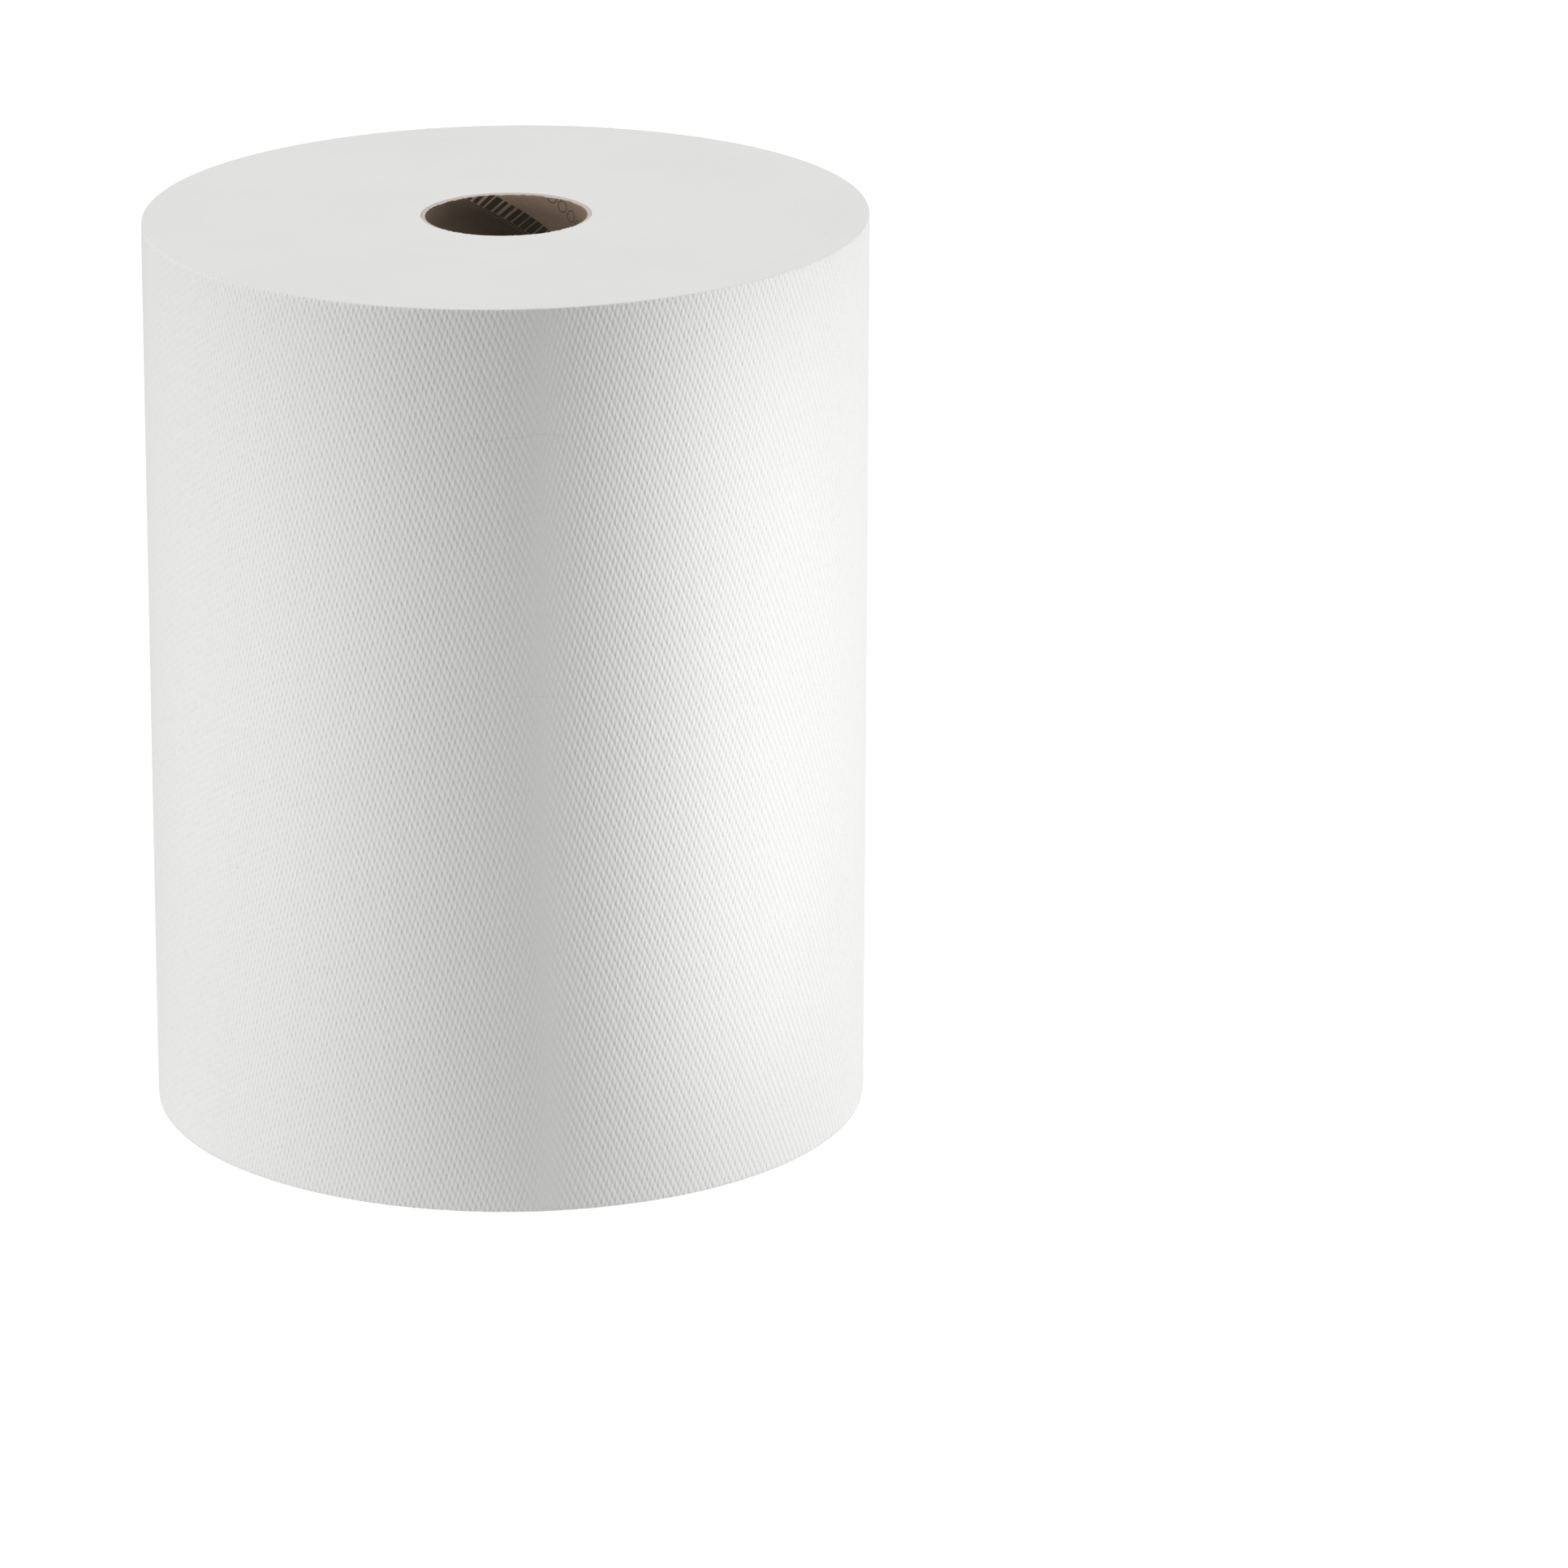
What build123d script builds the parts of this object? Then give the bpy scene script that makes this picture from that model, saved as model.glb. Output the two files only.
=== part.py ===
from build123d import *
from math import cos, radians, sin
import os

# A full roll of wide paper towelling on a plain cardboard core, standing on its end.
# Sizes are in millimetres. The origin is the middle of the lower end, and +Z runs up the core.
# Bearings are in degrees round from +X, so 90 is the back of the roll.

# The wound web of paper
web_width = 254.0
roll_diameter = 200.0
outer_turn_thickness = 0.3
tail_bearing = 72.0
rim_wear = 0.5

# Turns that slid along the roll in handling: they stand up at the top and in at the bottom
turn_drift = 0.4
drift_run = 1.2

# The cardboard core, wound from strips of board whose edges meet along a helix
core_bore_diameter = 44.4
core_wall = 1.2
core_inset = 0.3
strip_pitch = 82.0
strip_thickness = 0.4
strip_gap = 0.5
seam_top_bearing = 122.0

# Fits and cuts
core_clearance = 0.05
overrun = 1.0

roll_radius = roll_diameter / 2
core_bore_radius = core_bore_diameter / 2
core_radius = core_bore_radius + core_wall
web_start_radius = core_radius + core_clearance
web_build = roll_radius - web_start_radius

# Each band of turns: where it starts, as a share of the build from the core out, and how far it
# slid, as a share of the largest drift
band_start_shares = (0.0, 0.052, 0.128, 0.158, 0.262, 0.334, 0.362, 0.470, 0.548, 0.655, 0.858, 0.880, 0.962)
band_drift_shares = (0.0, 0.3, 1.0, 0.2, 0.0, 0.7, 0.15, 0.0, 0.25, 0.0, 0.6, 0.0, 0.5)


def end_points(level):
    """One end of the web from the core out: flat bands, each at its own height, joined by short slopes."""
    starts = [web_start_radius + share * web_build for share in band_start_shares]
    stops = starts[1:] + [roll_radius - rim_wear]
    points = []
    for start, stop, drift in zip(starts, stops, band_drift_shares):
        inner = start if start == starts[0] else start + drift_run / 2
        outer = stop if stop == stops[-1] else stop - drift_run / 2
        height = level + drift * turn_drift
        points += [(inner, height), (outer, height)]
    return points


# The paper: hundreds of turns wound hard together, as one solid
with BuildPart() as paper_roll:
    with BuildSketch(Plane.XZ) as web_section:
        with BuildLine():
            lower_end = end_points(0)
            upper_end = end_points(web_width)
            worn_lower = (roll_radius + overrun, lower_end[-1][1] + rim_wear + overrun)
            worn_upper = (roll_radius + overrun, upper_end[-1][1] - rim_wear - overrun)
            Polyline(*lower_end, worn_lower, worn_upper, *reversed(upper_end), close=True)
        make_face()
    revolve(axis=Axis.Z)
    # The outermost turn comes in by its own thickness on its way round, which leaves the step of the tail
    with BuildSketch(Plane.XY.offset(-overrun)) as outer_turn:
        with BuildLine():
            inward = outer_turn_thickness / 2
            second_centre = (-inward * cos(radians(tail_bearing)), -inward * sin(radians(tail_bearing)))
            first_half = CenterArc((0, 0), roll_radius, tail_bearing, 180)
            second_half = CenterArc(second_centre, roll_radius - inward, tail_bearing + 180, 180)
            Line(second_half @ 1, first_half @ 0)
        make_face()
    extrude(amount=web_width + turn_drift + 2 * overrun, mode=Mode.INTERSECT)

# The core: a tube of board with the helical seam where the edges of its inner strip meet
with BuildPart() as core:
    with BuildSketch(Plane.XY.offset(core_inset)) as board:
        Circle(core_radius)
        Circle(core_bore_radius, mode=Mode.SUBTRACT)
    extrude(amount=web_width - 2 * core_inset)
    with BuildLine() as seam:
        Helix(strip_pitch, web_width + 2 * overrun, core_bore_radius, center=(0, 0, -overrun))
    seam_path = seam.line.rotate(Axis.Z, seam_top_bearing - (web_width + overrun) / strip_pitch * 360)
    start = seam_path @ 0
    with BuildSketch(Plane(start, x_dir=(start.X, start.Y, 0), z_dir=seam_path % 0)) as seam_section:
        Rectangle(2 * strip_thickness, strip_gap)
    sweep(path=seam_path, is_frenet=True, mode=Mode.SUBTRACT)

os.makedirs("parts", exist_ok=True)
paper_roll.part.label = "paper_roll"
core.part.label = "core"
export_step(paper_roll.part, "parts/paper_roll.step")
export_step(core.part, "parts/core.step")
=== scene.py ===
# %% [markdown]
# # A roll of paper towelling
# The real thing is two pieces: a web of embossed paper, hundreds of turns long, and the cardboard core
# that it is wound on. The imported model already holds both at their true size, so it is loaded first, as
# a fixed frame, and everything below is fitted to it. Lengths are in metres.

# %% Load the frame
import math

import bpy
import numpy as np
from mathutils import Matrix, Vector


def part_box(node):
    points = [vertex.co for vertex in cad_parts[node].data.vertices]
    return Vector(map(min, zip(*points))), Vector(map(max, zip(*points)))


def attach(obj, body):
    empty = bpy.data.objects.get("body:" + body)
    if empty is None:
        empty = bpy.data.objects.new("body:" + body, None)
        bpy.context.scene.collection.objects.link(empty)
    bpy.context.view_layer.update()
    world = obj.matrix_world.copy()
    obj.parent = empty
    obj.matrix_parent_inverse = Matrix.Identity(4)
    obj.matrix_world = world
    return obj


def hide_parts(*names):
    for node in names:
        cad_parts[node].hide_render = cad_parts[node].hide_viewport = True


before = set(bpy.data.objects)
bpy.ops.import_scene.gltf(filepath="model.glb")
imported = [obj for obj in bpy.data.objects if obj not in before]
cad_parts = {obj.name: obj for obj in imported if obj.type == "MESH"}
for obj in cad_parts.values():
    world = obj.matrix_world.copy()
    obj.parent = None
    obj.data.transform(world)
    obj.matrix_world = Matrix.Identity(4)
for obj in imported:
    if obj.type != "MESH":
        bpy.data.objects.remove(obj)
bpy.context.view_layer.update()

print("frame holds", sorted(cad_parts))

# %% [markdown]
# ## Sizes
# The frame gives the core's sizes. The roll's radius and the width of its web are written down as the
# maker would state them, because the box of the paper is a little taller than the web is wide: groups of
# turns slid along the roll, and the difference says how far. A bearing is an angle round from +X, so 90
# degrees is the back.

# %% Sizes of the roll
MM = 0.001
FULL_TURN = 2 * math.pi
ROLL_RADIUS = 100 * MM
WEB_WIDTH = 254 * MM
TURN_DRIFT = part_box("paper_roll")[1].z - WEB_WIDTH
core_low, core_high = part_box("core")
CORE_RADIUS = core_high.x
CORE_FOOT, CORE_TOP = core_low.z, core_high.z
print("turns slid up to", round(TURN_DRIFT / MM, 2), "mm")
print("core radius and length", round(CORE_RADIUS / MM, 2), round((CORE_TOP - CORE_FOOT) / MM, 1), "mm")

# %% [markdown]
# ## The camera
# The photograph was taken with a long lens from a little above the roll's top. A camera could be turned by
# eye until the picture looks right, but the rim, the foot and the bore are ellipses, and their widths and
# heights fix where the camera stood: about 22 radii away and 8 radii up. The photograph is square, and
# Blender's sensor width of 36 mm spans it.

# %% Which way the camera looks
CAMERA_AWAY, CAMERA_UP = 22.125 * ROLL_RADIUS, 8.312 * ROLL_RADIUS
CAMERA_TURN = math.radians(1.993)
CAMERA_DIP = math.radians(18.531)
CAMERA_ROLL = math.radians(0.263)


def camera_matrix():
    """Columns: the camera's right, its up, and the way back from what it looks at; then its place."""
    ahead = np.array([
        math.sin(CAMERA_TURN) * math.cos(CAMERA_DIP),
        math.cos(CAMERA_TURN) * math.cos(CAMERA_DIP),
        -math.sin(CAMERA_DIP),
    ])
    level = np.array([math.cos(CAMERA_TURN), -math.sin(CAMERA_TURN), 0.0])
    upright = np.cross(level, ahead)
    right = math.cos(CAMERA_ROLL) * level + math.sin(CAMERA_ROLL) * upright
    up = math.cos(CAMERA_ROLL) * upright - math.sin(CAMERA_ROLL) * level
    matrix = Matrix.Identity(4)
    for row in range(3):
        matrix[row][0], matrix[row][1], matrix[row][2] = right[row], up[row], -ahead[row]
    matrix.translation = (0, -CAMERA_AWAY, CAMERA_UP)
    return matrix


print("camera looks", round(math.degrees(CAMERA_DIP), 1), "degrees down")

# %% Camera
LENS = 190.75
SENSOR_WIDTH = 36
FARTHEST_SEEN = 50

camera_data = bpy.data.cameras.new("camera")
camera_data.lens = LENS
camera_data.sensor_width = SENSOR_WIDTH
camera_data.clip_end = FARTHEST_SEEN
camera = bpy.data.objects.new("camera", camera_data)
camera.matrix_world = camera_matrix()
bpy.context.scene.collection.objects.link(camera)
bpy.context.scene.camera = camera
print("camera at", [round(v, 3) for v in camera.location])

# %% [markdown]
# ## Surfaces from arrays
# Every piece here is a sheet of points worked out with numpy: rows run one way over the piece, columns
# the other, and each square of four neighbours is a face. A sheet can close on itself either way, so one
# helper serves a sleeve, a ring and a tube. Corners could be added one by one, but writing whole arrays
# into the mesh is far quicker.


# %% Faces of a grid
def grid_faces(rows, columns, close_columns):
    """Corner numbers of a grid whose rows close: (i, j), (i, j + 1), (i + 1, j + 1), (i + 1, j)."""
    i = np.arange(rows)[:, None]
    j = np.arange(columns if close_columns else columns - 1)[None, :]
    next_i, next_j = (i + 1) % rows, (j + 1) % columns
    corners = [i * columns + j, i * columns + next_j, next_i * columns + next_j, next_i * columns + j]
    return np.stack([np.broadcast_to(c, (i.size, j.size)) for c in corners], axis=-1).reshape(-1, 4)


print("a closed grid of 3 rows and 8 columns has", len(grid_faces(3, 8, True)), "faces")


# %% A mesh from points and faces
def mesh_piece(name, points, faces, corner_uv=None):
    """An object from points and four-cornered faces, smooth, with a UV map called web if one is given."""
    mesh = bpy.data.meshes.new(name)
    mesh.vertices.add(len(points))
    mesh.vertices.foreach_set("co", points.astype(np.float32).ravel())
    mesh.loops.add(faces.size)
    mesh.loops.foreach_set("vertex_index", faces.astype(np.int32).ravel())
    mesh.polygons.add(len(faces))
    mesh.polygons.foreach_set("loop_start", np.arange(0, faces.size, 4, dtype=np.int32))
    mesh.polygons.foreach_set("use_smooth", np.ones(len(faces), dtype=bool))
    mesh.update(calc_edges=True)
    if corner_uv is not None:
        layer = mesh.uv_layers.new(name="web")
        layer.data.foreach_set("uv", corner_uv.astype(np.float32).ravel())
    piece = bpy.data.objects.new(name, mesh)
    bpy.context.scene.collection.objects.link(piece)
    return piece


def on_circle(radius, bearing, height):
    """Points at a radius and height on each bearing: x = r cos(b), y = r sin(b), z = height."""
    radius, bearing, height = np.broadcast_arrays(radius, bearing, height)
    return np.stack([radius * np.cos(bearing), radius * np.sin(bearing), height], axis=-1)


print("the back is at", on_circle(1.0, math.radians(90), 0.0).round(3))

# %% [markdown]
# ## Irregularities
# Nothing on a real roll is perfectly even. A Displace modifier could roughen the shapes, but heights
# worked out here can be kept to one edge, and made to meet where a circle closes. Along a line they come
# from random knots with an eased curve between them. Round a circle they are a sum of whole waves. Both
# are seeded, so every run gives the same roll.

# %% Smooth random lines and rings
KNOTS = 4096
WAVE_POWER = 1.5


def eased(share):
    """A soft step: a share s from 0 to 1 becomes s * s * (3 - 2 s), which is level at both ends."""
    return share * share * (3 - 2 * share)


def noise_line(places, spacing, seed):
    """Smooth random heights, about -1 to 1, along places: random knots a spacing apart, eased between."""
    knots = np.random.default_rng(seed).uniform(-1, 1, KNOTS)
    at = places / spacing
    low = np.floor(at).astype(int)
    ease = eased(at - low)
    return knots[low % KNOTS] * (1 - ease) + knots[(low + 1) % KNOTS] * ease


def noise_ring(bearings, waves, seed):
    """Smooth random heights round a circle, about -1 to 1: a sum of whole waves with random phases."""
    random = np.random.default_rng(seed)
    total = np.zeros_like(bearings)
    for wave in waves:
        total += math.sqrt(WAVE_POWER / len(waves)) * np.sin(wave * bearings + random.uniform(0, FULL_TURN))
    return total


print("heights along a line", noise_line(np.arange(5.0), spacing=2.0, seed=1).round(2))


# %% Uneven strength and growing steps
def uneven(heights, share):
    """A factor near 1 for a strength, from random heights: 1 - share + share * height."""
    return 1 - share + share * heights


def growing_steps(length, finest, coarsest, growth):
    """Places from 0 to length: a fine step at each end that grows by a ratio towards the middle."""
    steps, step = [0.0], finest
    while steps[-1] < length / 2:
        steps.append(steps[-1] + step)
        step = min(step * growth, coarsest)
    lower = np.array(steps) * (length / 2 / steps[-1])
    return np.concatenate([lower, length - lower[-2::-1]])


print("steps over 10:", growing_steps(10.0, finest=0.5, coarsest=2.0, growth=2.0).round(1))

# %% [markdown]
# ## The outer turn
# What shows on the side of a roll is one turn of the web. A cylinder would close on itself and have no
# loose end, so this sheet is worked out point by point. It starts at the tail, the loose end on the back,
# and after one turn it dips under itself by its own thickness. So its radius is R for half the turn and
# falls by the thickness of the paper over the other half, exactly as the solid's two arcs do.

# %% Outer turn: its line round the roll
TURN_THICKNESS = 0.3 * MM
TAIL_BEARING = math.radians(72)


def outer_radius(turned):
    """Radius of the web's outside after turning from the tail: R, then R - t/2 - t/2 cos(turned)."""
    half = TURN_THICKNESS / 2
    falling = ROLL_RADIUS - half - half * np.cos(np.minimum(turned, FULL_TURN))
    return np.where(turned <= math.pi, ROLL_RADIUS, falling)


print("radius at the tail and after a turn", outer_radius(np.array([0.0, FULL_TURN])).round(5))

# %% [markdown]
# The sheet's top and bottom edges are worn round and wander a little. It is dented by hundredths of a
# millimetre, and near the tail it stands off, because only a line of glue holds it there.

# %% Outer turn: its outer face
TURN_OVERLAP = math.radians(2.5)
TAIL_LIFT = 0.16 * MM
TAIL_LIFT_REACH = 3.0 * MM
WORN_DEPTH = 0.2 * MM
WORN_REACH = 0.4 * MM
DENT = 0.05 * MM
EDGE_WANDER = 0.06 * MM


def outer_face():
    """Radius, bearing and height of each point, and its place on the web: rows go up, columns go round.

    radius = outer_radius + tail lift * exp(-(along / reach) squared) + dents
    - wear * exp(-way to the edge / reach).
    """
    around = growing_steps((FULL_TURN + TURN_OVERLAP) * ROLL_RADIUS, 0.1 * MM, 0.8 * MM, growth=1.3)
    up = growing_steps(WEB_WIDTH, 0.1 * MM, 9 * MM, growth=1.35)[:, None]
    turned = around / ROLL_RADIUS
    stand_off = TAIL_LIFT * np.exp(-((around / TAIL_LIFT_REACH) ** 2))
    stand_off = stand_off * uneven(noise_line(up, spacing=31 * MM, seed=5), 0.3)
    dents = noise_ring(turned, waves=range(5, 23, 3), seed=11) * noise_line(up, spacing=47 * MM, seed=12)
    worn = np.exp(-np.minimum(up, WEB_WIDTH - up) / WORN_REACH)
    radius = outer_radius(turned) + stand_off + DENT * dents - WORN_DEPTH * worn
    wander = EDGE_WANDER * noise_ring(turned, waves=range(40, 400, 23), seed=13)
    height = np.maximum(up + np.sign(up - WEB_WIDTH / 2) * worn * wander, 0.0)
    return radius, TAIL_BEARING + turned, height, np.stack(np.broadcast_arrays(around, up), axis=-1)


print("rows and columns of the outer face", outer_face()[0].shape)

# %% [markdown]
# Paper has two faces. The inner one runs back down inside the outer one, so the sheet is a thin closed
# shell with cut edges between them. A Solidify modifier would give it a thickness too, but here the edges
# are ready as faces of their own, flat and with the second material slot.

# %% Outer turn: the closed sheet
SHEET = 0.24 * MM


def outer_turn():
    """Outer rows going up, then inner rows coming down, closed into a sleeve, and both cut ends filled."""
    radius, bearing, height, place = outer_face()
    rows, columns = radius.shape
    outside = on_circle(radius, bearing, height)
    inside = on_circle(radius - SHEET, bearing, height)
    low = np.arange(rows - 1)
    high = low + 1
    tail = np.stack([low, high, 2 * rows - 1 - high, 2 * rows - 1 - low], axis=-1) * columns
    tucked = tail[:, [1, 0, 3, 2]] + columns - 1
    faces = np.concatenate([grid_faces(2 * rows, columns, False), tail, tucked])
    points = np.concatenate([outside, inside[::-1]]).reshape(-1, 3)
    places = np.concatenate([place, place[::-1]]).reshape(-1, 2)
    piece = mesh_piece("outer_turn", points, faces, places[faces.ravel()])
    row_of_face = np.arange(len(faces)) // (columns - 1)
    cut = (row_of_face == rows - 1) | (row_of_face >= 2 * rows - 1)
    piece.data.polygons.foreach_set("use_smooth", ~cut)
    piece.data.polygons.foreach_set("material_index", cut.astype(np.int32))
    return piece


outer = outer_turn()
print("outer turn:", len(outer.data.polygons), "faces")

# %% [markdown]
# ## The wound web
# Under the outer turn lie some 630 more, each about an eighth of a millimetre. Modelled one by one they
# would be millions of faces. On the ends their cut edges make a face that looks nearly flat, so one closed
# ring does it, whose height is a function of the radius and a little of the bearing. Groups of turns slid
# along the roll, the same bands that the solid shows. They stand half as high here, as they do in the
# photograph, and within each band the edges stand a few hundredths of a millimetre up or down.

# %% Wound web: bands of turns
WEB_START_RADIUS = CORE_RADIUS + 0.05 * MM
WEB_BUILD = ROLL_RADIUS - WEB_START_RADIUS
BANDS = (
    # where it starts, as a share of the way out from the core, and its share of the largest drift
    (0.0, 0.0),
    (0.052, 0.3),
    (0.128, 1.0),
    (0.158, 0.2),
    (0.262, 0.0),
    (0.334, 0.7),
    (0.362, 0.15),
    (0.470, 0.0),
    (0.548, 0.25),
    (0.655, 0.0),
    (0.858, 0.6),
    (0.880, 0.0),
    (0.962, 0.5),
)
DRIFT_RUN = 1.2 * MM
DRIFT_SHOWN = 0.5


def drift_of(radius):
    """How far the turns at a radius slid: each band's own drift, with an eased step from band to band."""
    drift = np.zeros_like(radius)
    before = 0.0
    for start, share in BANDS:
        at = np.clip((radius - WEB_START_RADIUS - start * WEB_BUILD) / DRIFT_RUN + 0.5, 0, 1)
        drift += (share - before) * eased(at)
        before = share
    return TURN_DRIFT * DRIFT_SHOWN * drift


print(len(BANDS), "bands over", round(WEB_BUILD / MM, 2), "mm of paper")

# %% Wound web: height of its ends
EDGE_RIPPLE = 0.012 * MM
RIPPLE_WANDER = 0.5 * MM
MOUTH_WEAR = 0.12 * MM


def end_height(radius, bearing):
    """Lift of the cut edges: drift + ripples - wear * exp(-(way out from the bore / reach) squared)."""
    wander = radius + RIPPLE_WANDER * noise_ring(bearing, waves=(1, 2, 3, 5), seed=21)
    fine, broad = noise_line(wander, 0.9 * MM, seed=22), noise_line(wander, 3.1 * MM, seed=23)
    drift = drift_of(radius) * uneven(noise_ring(bearing, waves=(1, 2), seed=24), 0.25)
    mouth = np.exp(-((radius - WEB_START_RADIUS) / MOUTH_WEAR) ** 2)
    wear = mouth * MOUTH_WEAR * uneven(noise_ring(bearing, waves=range(20, 160, 17), seed=25), 0.3)
    return drift + EDGE_RIPPLE * (0.6 * fine + broad) - wear


across_end = WEB_START_RADIUS + np.linspace(0, WEB_BUILD, 1000)
print("largest lift", round(end_height(across_end, np.zeros(1)).max() / MM, 2), "mm")

# %% Wound web: the ring
TURN_GAP = 0.02 * MM
WEB_COLUMNS = 400
FOOT_ROWS, TOP_ROWS = 30, 200
MOUTH_ROWS = 0.35, 0.2, 0.1, 0.0
BORE_INSET = 2 * MM


def under_outer_turn(bearing):
    """Radius just inside the outer turn's sheet, and where two turns overlap, inside the inner one's."""
    turned = (bearing - TAIL_BEARING) % FULL_TURN
    turned = np.where(turned < TURN_OVERLAP, turned + FULL_TURN, turned)
    return outer_radius(turned) - SHEET - TURN_GAP


def wound_web():
    """A closed ring: columns go round the core, rows out along the foot, in over the top, down the bore."""
    bearing = np.linspace(0, FULL_TURN, WEB_COLUMNS, endpoint=False)[None, :]
    mouth = WEB_START_RADIUS + np.array(MOUTH_ROWS)[:, None] * MM + 0 * bearing
    width = under_outer_turn(bearing) - mouth[0]
    out = np.concatenate([mouth[::-1], mouth[0] + width * np.linspace(0, 1, FOOT_ROWS)[1:, None]])
    back = np.concatenate([mouth[0] + width * np.linspace(1, 0, TOP_ROWS)[:-1, None], mouth])
    foot = on_circle(out, bearing, np.maximum(end_height(out, bearing), 0))
    top = on_circle(back, bearing, WEB_WIDTH + end_height(back, bearing))
    high_bore = on_circle(WEB_START_RADIUS, bearing, WEB_WIDTH - BORE_INSET)
    low_bore = on_circle(WEB_START_RADIUS, bearing, BORE_INSET)
    points = np.concatenate([foot, top, high_bore, low_bore])
    return mesh_piece("wound_web", points.reshape(-1, 3), grid_faces(len(points), WEB_COLUMNS, True))


web = wound_web()
print("wound web:", len(web.data.polygons), "faces")

# %% [markdown]
# ## The core
# The core is wound from strips of board on a slant. Where the edges of the innermost strip meet, they
# leave a narrow groove that climbs the bore as a helix. A groove cut by a Boolean would leave ragged faces
# all the way up. A grid whose columns follow the helix puts the groove exactly on a few of its lines,
# however fine it is: a column's bearing is its own angle from the seam plus the angle that the seam has
# turned at that height. The UV map lies along the strip, so that the grain and the print of the board
# follow it as they do on the real one.

# %% Core: the strip and its seam
CORE_BORE_RADIUS = 22.2 * MM
STRIP_PITCH = 82 * MM
STRIP_SLANT = math.atan2(STRIP_PITCH, FULL_TURN * CORE_BORE_RADIUS)
STRIP_WIDTH = FULL_TURN * CORE_BORE_RADIUS * math.sin(STRIP_SLANT)
STRIP_GAP = 0.5 * MM
GAP_LINES = 0.0, 0.08, 0.16, 0.84, 0.92, 1.0
CORE_COLUMNS = 380


def core_columns():
    """Angles from the seam, fine across its gap and even elsewhere, and which of them lie in the gap."""
    gap = STRIP_GAP / CORE_BORE_RADIUS / math.sin(STRIP_SLANT)
    across = np.array(GAP_LINES) * gap
    angle = np.concatenate([across, np.linspace(gap, FULL_TURN, CORE_COLUMNS)[1:-1]])
    return angle, (angle > 0) & (angle < across[-1])


def along_strip(angle, height):
    """Place on the unrolled strip, with turned = angle * bore radius.

    along = height / sin(slant) + turned * cos(slant), and across = turned * sin(slant).
    """
    turned = angle * CORE_BORE_RADIUS
    along = height / math.sin(STRIP_SLANT) + turned * math.cos(STRIP_SLANT)
    return np.stack(np.broadcast_arrays(along, turned * math.sin(STRIP_SLANT)), axis=-1)


print("strip", round(STRIP_WIDTH / MM, 1), "mm wide")
print("wound at", round(math.degrees(STRIP_SLANT), 1), "degrees")

# %% [markdown]
# The groove is shown 0.06 mm deep, much less than it is cut in the solid, because glue and fluff fill it
# in the photograph. Both rims of the tube are sawn board: worn, a little crowned, and frayed unevenly.

# %% Core: rows of the wall and the rims
GROOVE_SHOWN = 0.06 * MM
CORE_FRAY = 0.12 * MM
FRAY_SINK = 0.6
RIM_REACH = 0.3 * MM
WALL_WEAR, BORE_WEAR = 0.1 * MM, 0.12 * MM
RIM_CROWN = 0.075 * MM
RIM_SHARES = 0.2, 0.5, 0.8


def core_rows(angle, in_gap):
    """Radius and height of each row: up the outer wall, over the rim, down the bore, along the foot.

    Wear and fray fade from each end as exp(-distance / reach). A rim's crown is a sine across the board.
    """
    up = growing_steps(CORE_TOP - CORE_FOOT, 0.08 * MM, 4 * MM, growth=1.4)[:, None]
    round_bore = angle * CORE_BORE_RADIUS
    fray = noise_line(round_bore, 0.5 * MM, seed=31) + 0.6 * noise_line(round_bore, 3 * MM, seed=32)
    soft = np.exp(-np.minimum(up, up[-1] - up) / RIM_REACH)
    height = CORE_FOOT + up + np.sign(up - up[-1] / 2) * soft * CORE_FRAY * (fray - FRAY_SINK)
    outside = CORE_RADIUS - WALL_WEAR * soft + 0 * height
    bore = CORE_BORE_RADIUS + GROOVE_SHOWN * in_gap + BORE_WEAR * soft
    share = np.array(RIM_SHARES)[:, None]
    crown = RIM_CROWN * np.sin(math.pi * share)
    rim = outside[-1:] * (1 - share) + bore[-1:] * share
    foot = bore[:1] * (1 - share) + outside[:1] * share
    heights = np.concatenate([height, height[-1:] + crown, height[::-1], height[:1] - crown])
    return np.concatenate([outside, rim, bore[::-1], foot]), heights, len(up)


print("rows of the core", len(core_rows(*core_columns())[0]))

# %% Core: the tube
SEAM_TOP_BEARING = math.radians(122)


def core_tube():
    """The ring of rows, with columns that climb with the seam. The sawn rims get the second slot."""
    angle, in_gap = core_columns()
    radius, height, wall_rows = core_rows(angle, in_gap)
    seam_bearing = SEAM_TOP_BEARING + (height - CORE_TOP) / STRIP_PITCH * FULL_TURN
    points = on_circle(radius, seam_bearing + angle, height).reshape(-1, 3)
    rows, columns = height.shape
    closed_angle = np.append(angle, FULL_TURN)
    closed_height = np.concatenate([height, height[:, :1]], axis=1)
    places = along_strip(closed_angle, closed_height).reshape(-1, 2)
    corner_uv = places[grid_faces(rows, columns + 1, False).ravel()]
    piece = mesh_piece("core_tube", points, grid_faces(rows, columns, True), corner_uv)
    row_of_face = np.arange(rows).repeat(columns)
    upper_rim = (row_of_face >= wall_rows - 1) & (row_of_face < wall_rows + len(RIM_SHARES))
    lower_rim = row_of_face >= 2 * wall_rows + len(RIM_SHARES) - 1
    piece.data.polygons.foreach_set("material_index", (upper_rim | lower_rim).astype(np.int32))
    return piece


core = core_tube()
print("core:", len(core.data.polygons), "faces")

# %% [markdown]
# ## Loose fibres
# Where paper is cut or torn, single fibres stand out of it. They could be hair, but hair isn't a mesh and
# wouldn't be exported. So each is a bent three-sided tube: a centre line that starts inside the paper and
# curls over, with a small triangle carried along it.

# %% Fibres
FIBRE_RADIUS = 0.035 * MM
FIBRE_STEPS = 9
FIBRE_CORNERS = 0, 2.1, 4.2
FIBRE_TAPER = 0.7


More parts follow.
